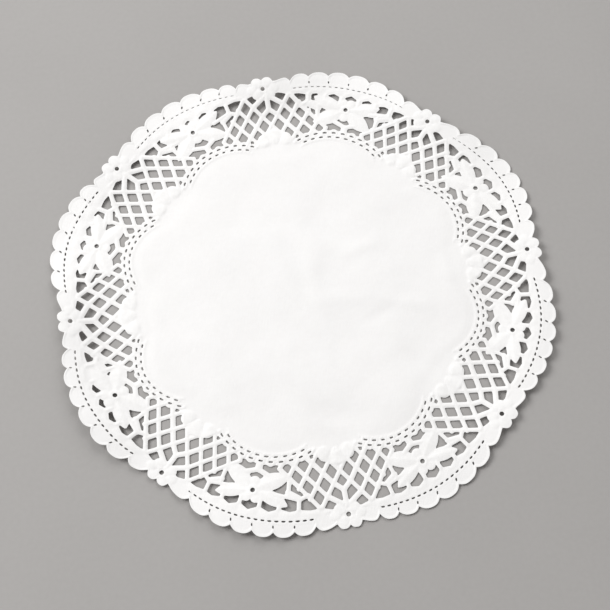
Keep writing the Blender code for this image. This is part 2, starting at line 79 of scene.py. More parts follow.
doily = {
    "repeats": 8,
    "discRadius": 124.0,  # the plain disc that the grid is laid on
    "warpRadius": 108.0,  # outside it the disc is drawn out to the scallops
    "slideRadius": 112.0,  # and outside this they slide round
    "columns": ((104.0, 168), (92.0, 152), (0.0, 136)),  # of a repeat, outside each radius
    "fineRadius": 79.5,  # inside it the rings grow apart
    "finePitch": 0.55,
    "pitchGrowth": 1.25,
    "middlePitch": 1.35,
    "slitReach": 0.42,  # of the pitch, within which a corner moves onto the line of a slit
    "rimSlitReach": 1.18,  # times that at the rim
    "snap": 0.3,  # of an edge, within which a corner moves onto the cut
    "slitSnap": 0.1,  # and the same for a corner on the middle line of a slit
    "fillet": 0.36,  # between the bars
    "height": 0.45,  # of the plain paper over the table
    "leastHeight": 0.05,
    "flatSpan": 260.0,  # of the flat sheet's square of UV
    # rim
    "scallops": 8,
    "scallopFullness": 2.6,
    "scallopDepth": 2.4,
    "endDepth": 0.7,  # that the first and last notch are deeper
    "crestRadius": 128.2,
    "crestFall": 8.4,
    "smallLobeAngle": 2.8,
    "smallLobeRadius": 123.4,
    "smallLobeDepth": 2.6,
    "cleftDepth": 1.6,  # between the two lobes
    # growth of each rim flower's lobes
    "lobeGrowth": (0.1, -0.1, 0.4, 0.4, 0.3, -1.0, -0.3, 0.5),
    # growth of the scallops, every 9 degrees from 4.5 beyond each rim flower
    "rimGrowth": (
        (-1.6, -1.2, -0.3, -0.6, -1.1),
        (-0.8, 0.0, -0.1, -0.2, 0.3),
        (0.2, 0.0, 0.3, 0.4, 0.0),
        (-0.2, 0.5, 0.8, 0.0, 0.1),
        (0.1, 0.2, 0.3, 0.4, -0.7),
        (0.1, 0.7, -0.4, -0.1, -0.3),
        (-1.4, -0.6, -0.1, -0.6, -1.2),
        (-0.6, -0.8, -0.6, -1.5, -1.4),
    ),
    "smallLobeColumns": 12 / 168,  # share of a repeat's columns
    "scallopSpan": 10.6,
    # lattice
    "pitch": 8.25,
    "row": 5.70,
    "latticeRadius": 101.4,
    "footRadius": 85.0,
    "bar": 2.1,
    "middleBar": 2.5,
    "fanBar": 2.6,
    "fanEnd": (1.8, 111.8),
    "lastBar": 1.5,  # that the last bar of each side is nearer the middle
    "lastFootRadius": 90.2,
    "stemBar": 2.6,
    "stemFootRadius": 105.2,
    "rimFlowerRadius": 117.0,
    "flowerRadius": 106.6,
    "eye": 1.15,  # radius
    # across, outward from the centre, radius
    "rimFlowerLobes": ((3.5, 114.1, 2.7), (5.9, 116.8, 2.6)),
    "rimFlowerTips": ((2.9, 120.6, 2.9),),
    "shellLobes": ((0.0, 90.3, 3.6), (5.8, 87.4, 3.1)),
    # across, outward from the flower's eye, radius
    "flowerLobes": ((0.0, 0.0, 4.4), (2.2, 3.6, 2.5), (0.0, -4.5, 2.6)),
    # degrees from outward, length, half width, where along it is widest, bend
    "petals": ((76.5, 18.0, 3.5, 0.56, 0.4), (125.0, 18.6, 4.1, 0.52, 0.5)),
    "petalFullness": 0.8,
    # degrees from the large flower's axis, radius
    "cellCrests": (
        (0.0, 115.7),
        (2.27, 113.3),
        (4.55, 115.3),
        (6.82, 113.3),
        (9.1, 114.4),
        (11.4, 113.2),
        (13.7, 113.5),
        (16.4, 112.6),
        (19.05, 113.8),
        (22.5, 112.8),
    ),
    # how far the cut pattern lies from the eyes, petals and rim, which were pressed apart
    # from it: clockwise inside and outside, outward, and stretch round the doily, at a rim
    # flower and then at the next large flower
    "cutStray": (
        (1.3, 1.3, 0.5, -0.01, 1.7, 1.3, 0.3, 0.03),
        (2.0, 2.0, 1.4, -0.05, 1.7, 1.4, 0.4, -0.04),
        (0.9, 0.9, 1.0, -0.01, -0.9, 0.6, 0.3, -0.09),
        (-0.6, -0.6, 0.7, 0.04, -0.2, -1.1, 0.6, 0.0),
        (-0.4, -0.3, 0.0, -0.02, -0.2, -0.1, 0.2, 0.03),
        (-0.1, -0.5, 1.0, 0.0, -0.5, -0.9, 0.4, -0.06),
        (-0.3, -0.3, 0.2, 0.09, 0.9, -0.7, -0.2, -0.06),
        (0.5, 0.3, -0.9, 0.03, 1.6, 1.1, -0.8, 0.0),
    ),
    "strayRadius": 100.0,  # between inside and outside
    "strayBlend": 10.0,
    "strayFrom": (76.0, 8.0),  # radius and blend
    "strayTo": (120.0, 4.0),
    "outerFrom": (100.0, 8.0),  # radius and blend of the outer paper
    "outerSlope": 0.8,
    # growth of the outer paper, every 9 degrees from the axis of each large flower
    "outerGrowth": (
        (0.4, 0.6, 0.2, 0.1, 0.2),
        (0.1, 0.25, 0.0, 0.0, 0.0),
        (0.0, -0.1, 0.0, 0.0, -0.1),
        (-0.1, -0.1, 0.0, 0.0, -0.1),
        (-0.2, -0.1, 0.0, 0.0, 0.1),
        (0.6, 0.8, 0.3, 0.1, 0.1),
        (0.3, 0.2, 0.0, 0.1, 0.2),
        (0.4, 0.0, 0.0, 0.1, 0.5),
    ),
    # across and outward at each end, width
    "flowerBars": (
        ((4.4, 110.0), (4.65, 116.0), 2.2),
        ((12.8, 109.0), (13.6, 116.0), 2.2),
        ((21.0, 106.6), (22.3, 114.0), 2.1),
        ((21.0, 106.6), (24.4, 103.4), 2.1),
        ((21.0, 106.6), (11.0, 106.2), 2.0),
        ((20.5, 105.6), (15.4, 104.1), 2.8),
        ((15.8, 106.0), (14.6, 98.0), 2.0),
        ((0.0, 95.9), (6.5, 98.5), 2.5),
        ((0.0, 95.7), (0.0, 90.0), 3.2),
    ),
    # inner band
    "bandFoot": (19.55, 86.0),
    "bandCorner": (39.1, 76.6),
    "archRadius": 30.7,
    "archCentre": 62.5,
    "bumpPitch": 4.86,
    "bumpRadius": 2.0,
    "bumpRise": 0.75,
    "bumpReach": 4.5,  # pitches to each side
    "bandLine": 25.2,
    # slits: radius in the arch, pitch, half length, half width, degrees that the row
    # reaches, and whether one is in the middle
    "archSlits": ((29.2, 4.62, 1.1, 0.44, 46.5, True), (26.7, 4.22, 1.05, 0.42, 42.0, False)),
    # radius, fall, pitch, half length, half width, degrees that the row reaches
    "rimSlits": (120.4, 2.3, 3.15, 1.0, 0.43, 14.6),
    "slitBow": 0.14,
    "slitMargin": 2.0,  # degrees past a row, in which corners still move onto its line
    # how far outward the rim's slits lie and their share of the width, every 15 degrees
    # from 7.5 beyond each rim flower
    "slitStray": (
        (-1.8, 0.5, -1.0, 0.55, -0.4, 0.45),
        (-0.5, 0.45, 0.5, 0.8, 0.0, 1.0),
        (-0.8, 1.0, -0.4, 1.0, -0.3, 1.0),
        (0.0, 1.0, 0.0, 1.0, -0.3, 1.0),
        (-0.2, 1.0, -0.1, 0.95, -0.3, 0.85),
        (0.3, 1.0, -0.9, 1.0, -1.1, 1.0),
        (0.2, 0.9, 0.8, 1.0, -0.2, 0.95),
        (-1.1, 0.65, -0.2, 0.5, -1.0, 0.45),
    ),
    # half length, half width, width lost outward, how far above the slits, notches to each side
    "tick": (0.8, 0.45, 0.35, 2.7, 2),
    "shellCut": (12.4, 87.3, 1.3, 1.3, 38.0),  # across, outward, half base, height, degrees
    # embossing
    "barRelief": 0.25,
    "petalRelief": 0.42,
    "lobeRelief": 0.27,
    "edgeRelief": 0.24,
    "edgeBead": (0.35, 0.5),  # in from the edge, width
    "secondBead": (1.7, 0.35, 0.4),  # and share of the height
    "slitRidges": (0.95, 0.35, 0.55),  # to each side, width, share
    "cellRelief": 0.2,
    "shellRelief": 0.42,
    "shellPoint": 79.5,
    "shellSpread": 0.75,
    "shellBeads": ((5.7, 84.4, 1.1), (10.4, 83.7, 1.0)),  # across, outward, radius
    "shellReach": (13.9, 1.9),  # and loss with the square of the turn
    "dishRelief": 0.12,
    "eyeRelief": 0.12,
    # lay
    "middleRise": (0.12, 0.28, 0.34, 0.20, 0.22, 0.36, 0.20, 0.14),  # beside each large flower
    "middleEdge": 7.0,
    "middleRadius": 80.0,
    "middleArch": 26.0,
    "evenRadius": 50.0,
    "waveRadius": 92.0,
    "waveFade": 20.0,
    # height, length, direction, start
    "waves": (
        (0.17, 61.0, 20.0, 0.4),
        (0.11, 43.0, 95.0, 2.1),
        (0.06, 29.0, 150.0, 4.0),
        (0.045, 21.0, 62.0, 1.2),
    ),
    # from and to across and outward from the centre, height, width, bow
    "creases": (
        (6.0, 44.0, 34.0, 16.0, -0.26, 4.5, 2.5),
        (18.0, 11.0, 52.0, 19.0, 0.22, 3.4, -2.5),
        (12.0, 34.0, 6.0, -18.0, 0.36, 5.5, 2.5),
        (-3.0, -8.0, 34.0, -13.0, 0.24, 4.0, -2.0),
        (-7.0, 32.0, 4.0, -18.0, -0.30, 4.6, -2.5),
        (26.0, -4.0, 70.0, -21.0, 0.30, 3.8, 3.5),
        (22.0, -25.0, 52.0, -11.0, -0.26, 3.6, 2.5),
        (38.0, -36.0, 60.0, -68.0, -0.36, 4.6, -2.5),
        (-14.0, -58.0, 24.0, -77.0, -0.36, 5.4, 2.0),
        (-40.0, 26.0, -12.0, -8.0, -0.24, 5.0, 2.0),
        (-16.0, -8.0, 4.0, -42.0, -0.24, 5.0, -2.0),
        (-16.0, 50.0, 8.0, 30.0, -0.24, 4.4, 1.5),
        (-62.0, -10.0, -34.0, -34.0, 0.20, 6.0, 3.0),
        (-30.0, -40.0, -2.0, -52.0, 0.20, 5.0, -2.0),
    ),
    "flatRadius": 97.0,
    "fullRadius": 124.0,
    "drawPower": 3,
    # lift, across and outward at a rim flower, then at the next large flower
    "lay": (
        (4.4, -0.4, 0.2, 0.8, 0.7, 0.5),
        (3.2, -0.2, 0.1, 0.3, 0.7, 0.8),
        (3.3, -0.5, -0.5, 2.8, -0.1, 0.5),
        (2.5, -0.1, 0.2, 0.3, 0.6, 0.2),
        (0.3, -0.9, 0.8, 2.4, 0.7, 0.6),
        (0.9, -0.3, -0.2, 4.4, 0.3, 1.1),
        (5.0, 0.4, -0.9, 0.3, -0.1, 0.5),
        (2.6, -0.3, 0.4, 0.3, -0.2, 0.4),
    ),
    # slide clockwise, reach, early reach, early slide
    "scallopLay": (
        (-2.1, 1.0, 0.0, -0.5),
        (1.8, 1.5, 0.0, 1.3),
        (2.7, -1.0, 0.5, 1.2),
        (3.0, -1.0, 0.5, -0.5),
        (-3.9, -0.5, 0.0, 1.0),
        (2.3, -1.5, 0.5, -0.5),
        (4.5, 1.5, 0.0, -0.5),
        (3.5, 1.0, 0.5, -1.0),
    ),
}
halfRepeat = math.pi / doily["repeats"]


def columnTurn(count):
    # angle 2 pi k / n, shifted a little so that columns meet the notches of the rim
    half = math.degrees(halfRepeat)
    place = np.arange(count) / count * doily["repeats"]
    first = doily["smallLobeColumns"]
    lobe = doily["smallLobeAngle"]
    angle = np.interp(place % 1, (0, first, 1 - first, 1), (0, lobe, 2 * half - lobe, 2 * half))
    return np.radians(np.floor(place) * 2 * half + angle)


def ringGrid(radii, counts):
    # points at radius r and angle 2 pi k / n on each ring, and the centre; between two
    # rings the triangles follow both rows of points in the order of their angles
    places = []
    starts = []
    total = 0
    for radius, count in zip(radii, counts):
        angle = columnTurn(count)
        places.append(np.column_stack((radius * np.sin(angle), radius * np.cos(angle))))
        starts.append(total)
        total += count
    triangles = []
    for ring in range(len(radii) - 1):
        outer = counts[ring]
        inner = counts[ring + 1]
        steps = np.concatenate((np.arange(outer) + 0.5, (np.arange(inner) + 0.5) * outer / inner + 0.001))
        isOuter = np.arange(outer + inner) < outer
        order = np.argsort(steps, kind="stable")
        isOuter = isOuter[order]
        outerAt = np.cumsum(isOuter) - isOuter
        innerAt = np.cumsum(~isOuter) - ~isOuter
        a = starts[ring] + outerAt % outer
        b = starts[ring + 1] + innerAt % inner
        outerNext = starts[ring] + (outerAt + 1) % outer
        innerNext = starts[ring + 1] + (innerAt + 1) % inner
        ahead = np.where(isOuter, outerNext, innerNext)
        triangles.append(np.column_stack((ahead, a, b)))
    last = starts[-1] + np.arange(counts[-1])
    triangles.append(np.column_stack((np.roll(last, -1), last, np.full(counts[-1], total))))
    places.append(np.zeros((1, 2)))
    return np.concatenate(places), np.concatenate(triangles)


def rimAt(repeat, angle):
    # crest = 128.2 - 8.4 (a/22.5 - 1)^2 + reach sin(4 a) + early sin(8 a) + growth, and the
    # edge is lower than it by up to 3.1 |2t - 1|^2.6 over each scallop, or lower than the
    # rim flower's lobes by 1.6 or 2.6 |2t - 1|^2.6; angle a in degrees, 0 to 45
    half = math.degrees(halfRepeat)
    lobe = doily["smallLobeAngle"]
    slide, reach, early, earlySlide = np.array(doily["scallopLay"])[repeat].T
    bow = np.sin(angle / half * math.pi / 2)
    earlyBow = np.sin(angle / half * math.pi)
    place = repeat + angle / (2 * half)
    stations = np.array(doily["rimGrowth"])
    growth = repeated(stations.reshape(-1, 1), place * stations.shape[1] - 0.5)[:, 0]
    crest = doily["crestRadius"] - doily["crestFall"] * (angle / half - 1) ** 2
    crest = crest + reach * bow + early * earlyBow + growth
    width = 2 * (half - lobe) / doily["scallops"]
    phase = (angle - lobe) / width
    number = np.clip(np.floor(phase), 0, doily["scallops"] - 1)
    phase = np.clip(phase - number, 0, 1)
    lobeTop = doily["smallLobeRadius"] + repeated(np.array(doily["lobeGrowth"])[:, None], place)[:, 0]
    least = lobeTop - doily["smallLobeDepth"]
    notch = np.round(number + phase)
    depth = np.clip(crest - least, 0, doily["scallopDepth"])
    depth = depth + doily["endDepth"] * ((notch == 1) | (notch == doily["scallops"] - 1))
    edge = np.maximum(crest, least) - depth * np.abs(2 * phase - 1) ** doily["scallopFullness"]
    side = np.minimum(angle, 2 * half - angle)
    small = side < lobe
    smallPhase = np.clip(side / lobe, 0, 1)
    depth = np.where(smallPhase < 0.5, doily["cleftDepth"], doily["smallLobeDepth"])
    smallEdge = lobeTop - depth * np.abs(2 * smallPhase - 1) ** doily["scallopFullness"]
    edge = np.where(small, smallEdge, edge)
    between = np.clip((angle - lobe) / (2 * (half - lobe)), 0, 1) * math.pi
    turned = (slide * np.sin(between) + earlySlide * np.sin(2 * between)) / doily["rimFlowerRadius"]
    return edge, crest, turned, np.where(small, smallPhase, phase), np.where(small, -1, number)


def patternPlace(disc):
    # from the plain disc to the flat doily: r' = r + (r - 108) / 16 (edge - 124) outside
    # 108, and the angle goes on by the slide of the scallops outside 112
    radius, turn = polar(disc[:, 0], disc[:, 1])
    half = math.degrees(halfRepeat)
    degrees = np.degrees(turn) % 360
    repeat = np.floor(degrees / (2 * half)).astype(int) % doily["repeats"]
    angle = degrees % (2 * half)
    edge, crest, slide, phase, number = rimAt(repeat, angle)
    out = np.clip((radius - doily["warpRadius"]) / (doily["discRadius"] - doily["warpRadius"]), 0, 1)
    sliding = soft((radius - doily["slideRadius"]) / (doily["discRadius"] - doily["slideRadius"]))
    away = radius + out * (edge - doily["discRadius"])
    final = np.radians(repeat * 2 * half + angle) + slide * sliding
    x = away * np.sin(final)
    y = away * np.cos(final)
    stretch = 1 + (edge - doily["discRadius"]) / (doily["discRadius"] - doily["warpRadius"])
    rim = {"inside": edge - away, "below": crest - away, "phase": phase, "number": number, "stretch": stretch}
    return x, y, rim


def segment(x, y, start, end):
    # distance to a straight line between two places
    dx = end[0] - start[0]
    dy = end[1] - start[1]
    along = np.clip(((x - start[0]) * dx + (y - start[1]) * dy) / (dx * dx + dy * dy), 0, 1)
    return np.hypot(x - start[0] - along * dx, y - start[1] - along * dy)


def barLines():
    # the bars of one repeat's lattice, as start, end and width, on one side and the other
    slope = doily["pitch"] / 2 / doily["row"]
    radius = doily["latticeRadius"]
    lines = []

    def onBar(across, out):
        return (across + (radius - out) * slope, out)

    for index in range(-5, 3):
        across = (index + 0.5) * doily["pitch"]
        top = min(radius + (across + 2.5 * doily["pitch"]) / (2 * slope), doily["rimFlowerRadius"])
        width = doily["bar"]
        if index == 0:
            top = radius
            width = doily["middleBar"]
            lines.append(((0, doily["stemFootRadius"]), onBar(across, top), width))
        if index == 1:
            top = radius + doily["row"]
            lines.append((onBar(across, top), doily["fanEnd"], doily["fanBar"]))
        foot = onBar(across, doily["footRadius"])
        if index == 2:
            foot = onBar(across - doily["lastBar"], doily["lastFootRadius"])
        if index == -5:
            across += doily["lastBar"]
            foot = onBar(across, doily["footRadius"])
        if top > doily["footRadius"]:
            lines.append((onBar(across, top), foot, width))
    lines += [((-a[0], a[1]), (-b[0], b[1]), width) for a, b, width in lines]
    lines.append(((0, doily["stemFootRadius"]), (0, doily["rimFlowerRadius"]), doily["stemBar"]))
    return lines


def petalShape(x, y, degrees, length, halfWidth, widest, bend):
    # half width w sin(pi t^b)^0.8 about a line bent by k sin(pi t), and a roof over it
    # with a sharp midrib
    angle = math.radians(degrees)
    along = x * math.sin(angle) + y * math.cos(angle)
    across = x * math.cos(angle) - y * math.sin(angle)
    bulge = math.log(0.5) / math.log(widest)
    t = np.clip(along / length, 0.002, 0.998)
    across = across - bend * np.sin(math.pi * t)
    half = halfWidth * np.sin(math.pi * t**bulge) ** doily["petalFullness"]
    field = half - np.abs(across) - np.abs(along - t * length)
    field = np.minimum(field, 0.75 * (length - along) + 0.2)
    inside = np.clip(1 - np.abs(across) / np.maximum(half, 0.01), 0, 1)
    roof = inside**0.75 * np.sin(math.pi * np.clip(along / length, 0, 1)) ** 0.5
    return field, roof


def slitLine(turn, degrees):
    # radius of the middle line of the rim's slits, r - fall (d / reach)^2 + stray, at d
    # degrees from the large flower's axis, and the slits' share of their width
    radius, fall = doily["rimSlits"][:2]
    stations = np.array(doily["slitStray"])
    place = turn / (2 * halfRepeat) * stations.shape[1] / 2 - 0.5
    stray, share = repeated(stations.reshape(-1, 2), place).T
    return radius - fall * (degrees / doily["rimSlits"][-1]) ** 2 + stray, share


def slitRow(along, away, pitch, halfLength, halfWidth, reach, middle):
    # distance into the nearest slit of a row; each slit is a little arch, and they are
    # centred on the middle, or half a pitch to each side of it
    shift = 0 if middle else 0.5
    nearest = np.round(along / pitch - shift) + shift
    limit = math.floor(reach / pitch - shift) + shift
    nearest = np.clip(nearest, -limit, limit)
    off = along - nearest * pitch
    over = np.maximum(np.abs(off) - halfLength + halfWidth, 0)
    return halfWidth - np.hypot(over, away + doily["slitBow"] * (off / halfLength) ** 2)


def cutPlace(radius, turn):
    # the place in the cut pattern: r - outward and turn - across / r, fading out at the
    # plain middle and at the rim
    stations = np.array(doily["cutStray"]).reshape(-1, 4)
    slopes = stations[:, 3:] * (1, 1, 0) * doily["strayRadius"] * halfRepeat
    inside, outside, outward = repeated(stations[:, :3], turn / halfRepeat, slopes).T
    across = inside + (outside - inside) * soft((radius - doily["strayRadius"]) / doily["strayBlend"])
    begins, beginBlend = doily["strayFrom"]
    ends, endBlend = doily["strayTo"]
    fade = soft((radius - begins) / beginBlend) * soft((ends - radius) / endBlend)
    return radius - outward * fade, turn - across * fade / np.maximum(radius, 1)


def lacePlaces(disc):
    # where each corner is as seen from the axes of the rim flower and the large flower, and
    # in the cut pattern from the lattice's axis, the cells' axis and the middle of the arch
    x, y, rim = patternPlace(disc)
    radius, turn = polar(x, y)
    folded = np.abs((turn + halfRepeat) % (2 * halfRepeat) - halfRepeat)
    at = {"radius": radius, "turn": turn, "rim": rim}
    at["rimX"] = radius * np.sin(folded)
    at["rimY"] = radius * np.cos(folded)
    at["rimDegrees"] = np.degrees(halfRepeat - folded)
    at["flowerX"] = radius * np.sin(halfRepeat - folded)
    at["flowerY"] = radius * np.cos(halfRepeat - folded)
    radius, turn = cutPlace(radius, turn)
    folded = np.abs((turn + halfRepeat) % (2 * halfRepeat) - halfRepeat)
    at["cutRadius"] = radius
    at["lx"] = radius * np.sin(folded)
    at["ly"] = radius * np.cos(folded)
    at["fx"] = radius * np.sin(halfRepeat - folded)
    at["fy"] = radius * np.cos(halfRepeat - folded)
    at["degrees"] = np.degrees(halfRepeat - folded)
    at["arch"] = np.hypot(at["fx"], at["fy"] - doily["archCentre"])
    at["archTurn"] = np.arctan2(at["fx"], at["fy"] - doily["archCentre"])
    crests = np.array(doily["cellCrests"])
    at["outer"] = np.interp(at["degrees"], crests[:, 0], crests[:, 1])
    at["cell"] = np.interp(at["degrees"], crests[::2, 0], np.arange(len(crests[::2])))
    at["slitLine"], at["slitShare"] = slitLine(at["turn"], at["rimDegrees"])
    return at


def archBumps(at):
    # distance into the row of round bumps along the outside of the arch
    pitch = doily["bumpPitch"] / doily["archRadius"]
    turn = np.clip(np.round(at["archTurn"] / pitch), 0, doily["bumpReach"]) * pitch
    out = doily["archRadius"] + doily["bumpRise"] - doily["bumpRadius"]
    away = np.hypot(at["fx"] - out * np.sin(turn), at["fy"] - doily["archCentre"] - out * np.cos(turn))
    return doily["bumpRadius"] - away


def barsAndGround(at):
    # bars w/2 - distance, joined to the plain paper inside the band and outside the cells
    blend = doily["fillet"]
    paper = np.full(len(at["lx"]), -9.0)
    relief = np.zeros(len(at["lx"]))
    lines = [(at["lx"], at["ly"], line) for line in barLines()]
    lines += [(at["fx"], at["fy"], line) for line in doily["flowerBars"]]
    lines += [(-at["fx"], at["fy"], line) for line in doily["flowerBars"]]
    for u, v, (start, end, width) in lines:
        distance = segment(u, v, start, end)
        paper = joined(paper, width / 2 - distance, blend)
        relief = np.maximum(relief, doily["barRelief"] * np.clip(1 - (2 * distance / width) ** 2, 0, 1))
    foot = doily["bandFoot"]
    corner = doily["bandCorner"]
    length = math.hypot(corner[0] - foot[0], corner[1] - foot[1])
    across = (corner[1] - foot[1]) * (at["lx"] - foot[0])
    beyond = (across - (corner[0] - foot[0]) * (at["ly"] - foot[1])) / length
    paper = joined(paper, (at["cutRadius"] - at["outer"]) * doily["outerSlope"], blend)
    paper = joined(paper, np.minimum(foot[1] - at["ly"], beyond), blend)
    paper = joined(paper, doily["archRadius"] - at["arch"], blend)
    return joined(paper, archBumps(at), blend), relief


def lobesAndPetals(at, paper, relief):
    # round lobes r - distance with a dome over each, and petals with a roof over each
    blend = doily["fillet"]
    for across, out, size in doily["rimFlowerLobes"]:
        away = np.hypot(at["rimX"] - across, at["rimY"] - out)
        paper = joined(paper, size - away, blend)
    for across, out, size in doily["shellLobes"]:
        away = np.hypot(at["lx"] - across, at["ly"] - out)
        paper = joined(paper, size - away, blend)
    for across, out, size in doily["flowerLobes"]:
        away = np.hypot(at["flowerX"] - across, at["flowerY"] - doily["flowerRadius"] - out)
        paper = joined(paper, size - away, blend)
        dome = np.sqrt(np.clip(1 - (away / size) ** 2, 0, 1))
        relief = np.maximum(relief, doily["lobeRelief"] * dome)
    for row in doily["petals"]:
        field, roof = petalShape(at["flowerX"], at["flowerY"] - doily["flowerRadius"], *row)
        paper = joined(paper, field, blend * 0.6)
        relief = np.maximum(relief, doily["petalRelief"] * roof)
    return paper, relief


def rimRelief(at):
    # a bead along the edge, a shallow dish with a second line, ridges beside the slits and
    # one round cell |cos| sin over each opening under them
    rim = at["rim"]
    steep = np.sqrt(1 + (doily["scallopDepth"] * 0.9 * (2 * rim["phase"] - 1) ** 3) ** 2)
    inside = rim["inside"] / steep
    place, width = doily["edgeBead"]
    bead = doily["edgeRelief"] * bell(inside - place, width)
    place, width, share = doily["secondBead"]
    second = doily["edgeRelief"] * share * bell(inside - place, width)
    dish = -doily["dishRelief"] * soft((inside - 0.6) / 1.5) * soft(rim["below"] / 2)
    dish = dish * soft((7 - rim["below"]) / 2.5)
    fromLine = at["radius"] - at["slitLine"]
    rowOn = soft((doily["rimSlits"][-1] + 1.2 - at["rimDegrees"]) / 1.5)
    place, width, share = doily["slitRidges"]
    pair = bell(fromLine - place, width) + bell(fromLine + place, width)
    ridge = rowOn * doily["edgeRelief"] * share * pair
    cell = np.clip((fromLine + 1.2) / (113.5 - at["slitLine"] + 1.2), 0, 1)
    cells = doily["cellRelief"] * np.abs(np.cos(at["cell"] * math.pi)) * np.sin(cell * math.pi) ** 0.7
    return bead + second + dish + ridge + cells * (fromLine < -1.2)


def rimFlowerRelief(at):
    # sqrt(1 - (distance / r)^2) over each of the four lobes, and a ring round the eye
    rise = np.zeros(len(at["lx"]))
    for across, out, size in doily["rimFlowerLobes"] + doily["rimFlowerTips"]:
        away = np.hypot(at["rimX"] - across, at["rimY"] - out)
        rise = np.maximum(rise, doily["lobeRelief"] * np.sqrt(np.clip(1 - (away / size) ** 2, 0, 1)))
    return rise


def bandRelief(at, slit):
    # ridges that bow over every slit of the two rows, and a line inside them
    isBand = (at["arch"] < doily["archRadius"] + 1.2) * soft((at["radius"] - 74) / 3) * (at["radius"] < 97)
    reach = soft((math.radians(50) - np.abs(at["archTurn"])) / math.radians(3))
    rise = doily["edgeRelief"] * bell(slit + 0.55, 0.38) * (slit > -2)
    line = doily["edgeRelief"] * 0.7 * bell(at["arch"] - doily["bandLine"], 0.5)
    edge = doily["edgeRelief"] * 0.8 * bell(archBumps(at) - 0.4, 0.4)
    edge = edge * (at["arch"] > doily["archSlits"][0][0])
    return np.maximum(np.maximum(rise, line), edge) * reach * isBand


def shellRelief(at):
    # lobes |cos| that fan out from a point inside the lattice's foot, to a reach that falls
    # off with the square of the turn, with a bead beside the point
    out = at["ly"] - doily["shellPoint"]
    turn = np.arctan2(at["lx"], out)
    away = np.hypot(at["lx"], out)
    spread = doily["shellSpread"]
    fan = np.abs(np.cos(turn / spread * math.pi))
    furthest, loss = doily["shellReach"]
    reach = furthest - loss * turn**2
    shape = soft((out - 2.6) / 1.6) * soft((away - 4.5) / 3)
    shape = shape * soft((reach - away) / 1.3) * soft((1.25 - turn) / 0.12)
    rise = doily["shellRelief"] * shape * (0.2 + 0.8 * fan**0.6)
    for across, height, size in doily["shellBeads"]:
        beadAway = np.hypot(at["lx"] - across, at["ly"] - height)
        rise = np.maximum(rise, 0.9 * doily["shellRelief"] * bell(beadAway, size))
    return rise * (at["radius"] < 97)


def slitShape(at):
    # distance into the slits of the arches and the rim, the ticks under the notches, the
    # small cuts beside the shell, and the flowers' eyes
    slit = np.full(len(at["lx"]), -9.0)
    for line, pitch, halfLength, halfWidth, reach, middle in doily["archSlits"]:
        along = at["archTurn"] * line
        reach = math.radians(reach) * line
        row = slitRow(along, at["arch"] - line, pitch, halfLength, halfWidth, reach, middle)
        slit = np.maximum(slit, np.where(at["radius"] < doily["strayRadius"] - 1, row, -9))
    slitRadius, _, pitch, halfLength, halfWidth, reach = doily["rimSlits"]
    along = np.radians(at["rimDegrees"]) * slitRadius
    halfWidth = halfWidth * at["slitShare"]
    reach = math.radians(reach) * slitRadius
    row = slitRow(along, at["radius"] - at["slitLine"], pitch, halfLength, halfWidth, reach, False)
    rows = np.maximum(slit, row)
    across, out, halfBase, height, turn = doily["shellCut"]
    turn = math.radians(turn)
    u = (at["lx"] - across) * math.cos(turn) - (at["ly"] - out) * math.sin(turn)
    v = (at["lx"] - across) * math.sin(turn) + (at["ly"] - out) * math.cos(turn)
    cut = np.minimum(v + height / 2, (height / 2 - v) * 0.8 - np.abs(u) * height / halfBase * 0.8)
    rim = at["rim"]
    notch = np.round(rim["number"] + rim["phase"])
    beside = (rim["number"] + rim["phase"] - notch) * doily["scallopSpan"]
    halfTick, tickWidth, tickLoss, tickHeight, tickReach = doily["tick"]
    out = at["slitLine"] + tickHeight - at["radius"]
    tick = np.minimum(tickWidth + tickLoss * out / halfTick * 0.5 - np.abs(beside), halfTick - np.abs(out))
    isTick = (np.abs(notch - doily["scallops"] / 2) <= tickReach) & (rim["number"] >= 0)
    tick = np.where(isTick, tick, -9)
    eye = doily["eye"] - np.hypot(at["flowerX"], at["flowerY"] - doily["flowerRadius"])
    rimEye = doily["eye"] - np.hypot(at["rimX"], at["rimY"] - doily["rimFlowerRadius"])
    every = np.maximum(np.maximum(rows, cut), np.maximum(tick, np.maximum(eye, rimEye)))
    return every, rows, np.maximum(eye, rimEye)


def lace(disc):
    # signed distance into the paper, and the height of its embossing
    at = lacePlaces(disc)
    paper, relief = barsAndGround(at)
    paper, relief = lobesAndPetals(at, paper, relief)
    stations = np.array(doily["outerGrowth"])
    place = (at["turn"] / (2 * halfRepeat) - 0.5) * stations.shape[1]
    growth = repeated(stations.reshape(-1, 1), place)[:, 0]
    begins, blend = doily["outerFrom"]
    paper = paper + growth * soft((at["radius"] - begins) / blend)
    slit, rows, eyes = slitShape(at)
    isRim = soft((at["cutRadius"] - at["outer"]) / 1.2)
    relief = np.maximum(relief * (1 - isRim), isRim * rimRelief(at))
    relief = np.maximum(relief, rimFlowerRelief(at))
    relief = np.maximum(relief, bandRelief(at, rows))
    relief = np.maximum(relief, shellRelief(at))
    relief = relief + doily["eyeRelief"] * bell(eyes + 0.85, 0.6)
    return np.minimum(paper, -slit), relief


